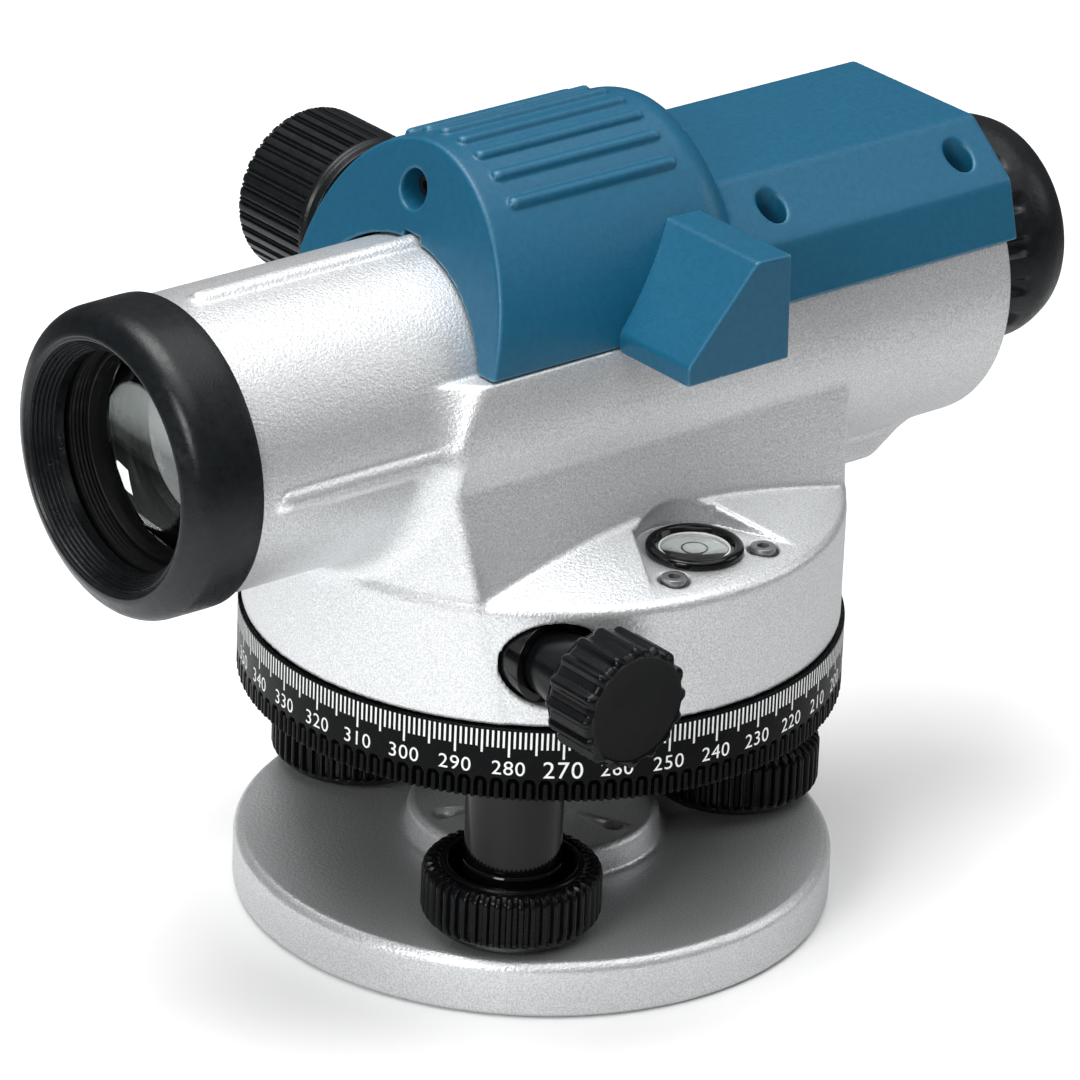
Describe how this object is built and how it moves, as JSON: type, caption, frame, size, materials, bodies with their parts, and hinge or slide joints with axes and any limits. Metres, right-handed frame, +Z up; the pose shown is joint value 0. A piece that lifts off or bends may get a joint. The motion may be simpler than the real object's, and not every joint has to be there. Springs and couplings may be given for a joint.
{
  "type": "automatic level",
  "caption": "Surveying level: a self-levelling telescope on a rotating head with a graduated circle, fine drive and foot-screw base.",
  "frame": {"origin": "middle of the bounding box's underside, 4.85 mm from the vertical axis towards the eyepiece", "axes": "+Z up, parallel to the vertical axis, telescope looks towards -X with its eyepiece at +X, circular bubble on the -Y side"},
  "size_m": [0.2028, 0.1274, 0.1494],
  "materials": {
    "silver": "satin pebbled silver-grey paint",
    "blue": "satin fine-textured blue paint",
    "black_plastic": "semi-gloss moulded black",
    "black_rubber": "satin moulded rubber",
    "blackened": "matt black anodised",
    "steel": "machined",
    "brass": "turned",
    "glass": "coated optical glass",
    "mirror": "front-silvered"
  },
  "bodies": {
    "base": {"base_plate": "silver", "spring_plate": "steel", "spring_plate_screw_1": "steel", "spring_plate_screw_2": "steel", "spring_plate_screw_3": "steel", "foot_seat_1": "brass"},
    "foot_seat_2": {"foot_seat_2": "brass"},
    "foot_seat_3": {"foot_seat_3": "brass"},
    "tribrach": {"tribrach_body": "blackened", "foot_sleeve_1": "black_plastic", "foot_sleeve_2": "black_plastic", "foot_sleeve_3": "black_plastic", "axis_bush": "brass"},
    "foot_swivel_1": {"foot_swivel_1": "steel"},
    "foot_screw_1": {"foot_screw_1": "black_plastic"},
    "foot_swivel_2": {"foot_swivel_2": "steel"},
    "foot_screw_2": {"foot_screw_2": "black_plastic"},
    "foot_swivel_3": {"foot_swivel_3": "steel"},
    "foot_screw_3": {"foot_screw_3": "black_plastic"},
    "worm_wheel": {"worm_wheel": "brass"},
    "horizontal_circle": {"horizontal_circle": "black_plastic"},
    "head": {"housing": "silver", "vertical_spindle": "steel", "spindle_nut": "steel", "top_cover": "blue", "cover_screw_near_front": "steel", "cover_screw_near_rear": "steel", "cover_screw_far_front": "steel", "cover_screw_far_rear": "steel", "cover_screw_nose": "steel", "mirror_hood": "blue", "bubble_mirror": "mirror", "objective_hood": "black_rubber", "objective_cell": "blackened", "objective_crown_lens": "glass", "objective_flint_lens": "glass", "lens_retaining_ring": "blackened", "bubble_housing": "black_plastic", "bubble_vial": "glass", "bubble_screw_1": "steel", "bubble_screw_2": "steel", "reticle_cell": "brass", "reticle_plate": "glass", "eyepiece_barrel": "blackened", "compensator_frame": "blackened", "roof_prism": "glass", "damper_magnet": "steel", "drive_bush_near": "black_plastic", "drive_bush_far": "black_plastic"},
    "focus_knob": {"focus_knob": "black_rubber", "focus_pinion": "brass"},
    "focus_cell": {"focus_cell": "blackened", "focusing_lens": "glass"},
    "pendulum": {"pendulum_arm": "blackened", "pendulum_prism": "glass"},
    "eye_lens": {"eye_lens": "glass"},
    "eye_guard": {"eye_guard": "black_rubber"},
    "fine_drive": {"drive_shaft": "steel", "drive_knob_near": "black_plastic", "drive_knob_far": "black_plastic"}
  },
  "joints": [
    {"name": "tilt_1", "type": "hinge", "parent": "base", "child": "foot_seat_2", "pos_m": [0.00898, 0.01417, 0.0086], "axis": [0.7157, -0.6984, 0], "range_deg": [-2.17, 2.17]},
    {"name": "foot_slide_1", "type": "slide", "parent": "tribrach", "child": "foot_swivel_1", "axis": [0, 0, 1], "range_m": [-0.00225, 0.00225]},
    {"name": "foot_screw_1_turn", "type": "hinge", "parent": "foot_swivel_1", "child": "foot_screw_1", "pos_m": [-0.03251, -0.02834, 0.0086], "axis": [0, 0, 1], "range_deg": [-1080, 1080]},
    {"name": "tilt_2", "type": "hinge", "parent": "foot_seat_2", "child": "foot_seat_3", "pos_m": [-0.02404, 0.00489, 0.0086], "axis": [0.247, 0.969, 0], "range_deg": [-2.17, 2.17]},
    {"name": "foot_slide_2", "type": "slide", "parent": "tribrach", "child": "foot_swivel_2", "axis": [0, 0, 1], "range_m": [-0.00225, 0.00225]},
    {"name": "foot_screw_2_turn", "type": "hinge", "parent": "foot_swivel_2", "child": "foot_screw_2", "pos_m": [0.03352, -0.00978, 0.0086], "axis": [0, 0, 1], "range_deg": [-1080, 1080]},
    {"name": "tilt_3", "type": "hinge", "parent": "foot_seat_3", "child": "tribrach", "pos_m": [0.00051, -0.01906, 0.0086], "axis": [-0.9627, -0.2706, 0], "range_deg": [-2.17, 2.17]},
    {"name": "foot_slide_3", "type": "slide", "parent": "tribrach", "child": "foot_swivel_3", "axis": [0, 0, 1], "range_m": [-0.00225, 0.00225]},
    {"name": "foot_screw_3_turn", "type": "hinge", "parent": "foot_swivel_3", "child": "foot_screw_3", "pos_m": [-0.01557, 0.03812, 0.0086], "axis": [0, 0, 1], "range_deg": [-1080, 1080]},
    {"name": "circle_turn", "type": "hinge", "parent": "tribrach", "child": "horizontal_circle", "pos_m": [-0.00485, 0, 0.05], "axis": [0, 0, 1], "continuous": true},
    {"name": "coarse_swing", "type": "hinge", "parent": "tribrach", "child": "worm_wheel", "pos_m": [-0.00485, 0, 0.067], "axis": [0, 0, 1], "continuous": true},
    {"name": "fine_swing", "type": "hinge", "parent": "worm_wheel", "child": "head", "pos_m": [-0.00485, 0, 0.067], "axis": [0, 0, 1], "range_deg": [-18.02, 18.02]},
    {"name": "drive_turn", "type": "hinge", "parent": "head", "child": "fine_drive", "pos_m": [-0.03565, 0, 0.0679], "axis": [0, 1, 0], "range_deg": [-720, 720]},
    {"name": "focus_turn", "type": "hinge", "parent": "head", "child": "focus_knob", "pos_m": [-0.01815, 0, 0.1192], "axis": [0, 1, 0], "range_deg": [-127.3, 127.3]},
    {"name": "focus_travel", "type": "slide", "parent": "head", "child": "focus_cell", "axis": [1, 0, 0], "range_m": [-0.00801, 0.00801]},
    {"name": "pendulum_swing", "type": "hinge", "parent": "head", "child": "pendulum", "pos_m": [0.03715, 0, 0.1225], "axis": [0, 1, 0], "range_deg": [-0.5, 0.5]},
    {"name": "dioptre_travel", "type": "slide", "parent": "head", "child": "eye_lens", "axis": [1, 0, 0], "range_m": [-0.0008, 0.0008]},
    {"name": "dioptre_turn", "type": "hinge", "parent": "eye_lens", "child": "eye_guard", "pos_m": [0.09015, 0, 0.1052], "axis": [1, 0, 0], "range_deg": [-150, 150]}
  ],
  "couplings": [
    {"joint": "tilt_1", "follows": "foot_screw_1_turn", "ratio": 0.0020095},
    {"joint": "foot_slide_1", "follows": "foot_screw_1_turn", "m_per_rad": 0.00011937},
    {"joint": "tilt_2", "follows": "foot_screw_2_turn", "ratio": 0.0020095},
    {"joint": "foot_slide_2", "follows": "foot_screw_2_turn", "m_per_rad": 0.00011937},
    {"joint": "tilt_3", "follows": "foot_screw_3_turn", "ratio": 0.0020095},
    {"joint": "foot_slide_3", "follows": "foot_screw_3_turn", "m_per_rad": 0.00011937},
    {"joint": "fine_swing", "follows": "drive_turn", "ratio": 0.025},
    {"joint": "focus_travel", "follows": "focus_turn", "m_per_rad": -0.0036},
    {"joint": "dioptre_travel", "follows": "dioptre_turn", "m_per_rad": 0.00030176}
  ]
}
